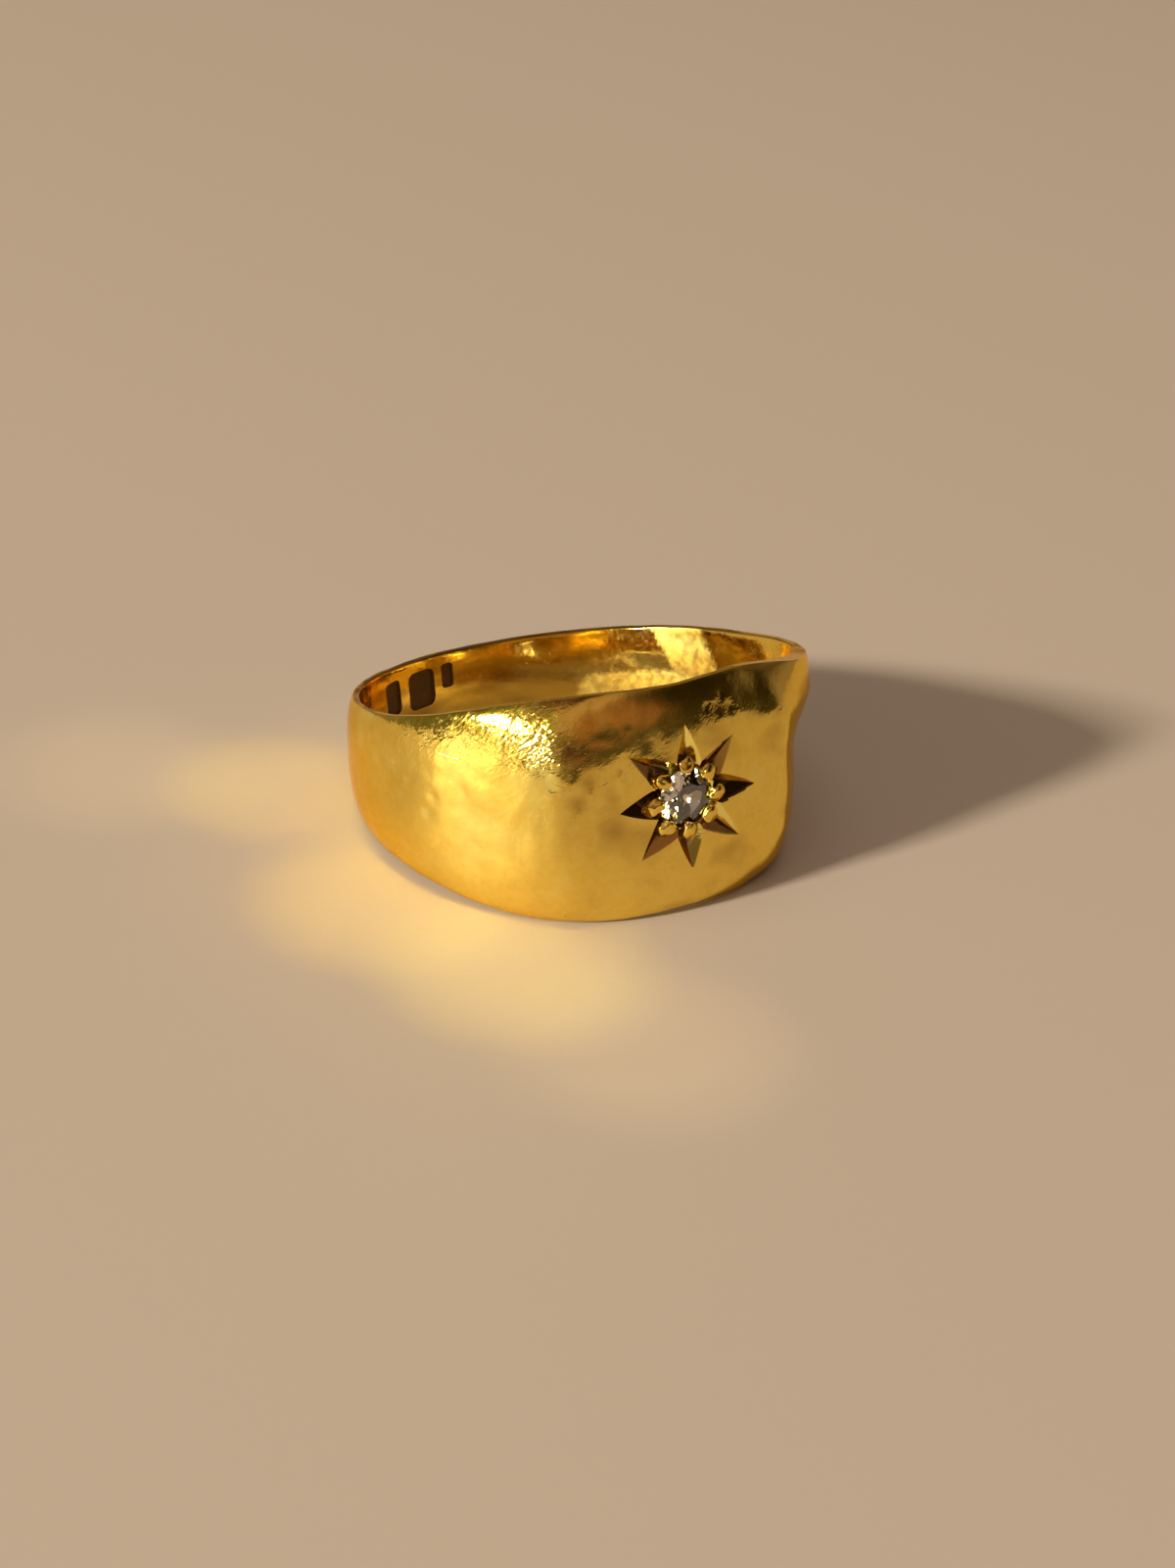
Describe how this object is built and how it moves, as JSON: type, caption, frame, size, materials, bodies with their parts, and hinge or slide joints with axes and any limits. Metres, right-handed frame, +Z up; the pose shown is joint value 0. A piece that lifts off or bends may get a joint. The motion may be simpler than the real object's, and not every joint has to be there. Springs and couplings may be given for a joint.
{
  "type": "diamond signet ring",
  "caption": "Wide tapered gold signet ring, lying on its side, with a round diamond set flush in a cut star on its face.",
  "frame": {"origin": "bottom centre of the ring's box, on the surface that it lies on", "axes": "+Z up, the face towards -Y, the back of the band towards +Y; the finger hole's axis leans back about 10 degrees from +Z"},
  "size_m": [0.0198, 0.0202, 0.0101],
  "materials": {
    "gold": "polished rich yellow gold, softly worn, with fine scratches",
    "diamond": "clear faceted stone"
  },
  "bodies": {
    "root": {"ring_body": "gold", "diamond": "diamond"}
  },
  "joints": []
}
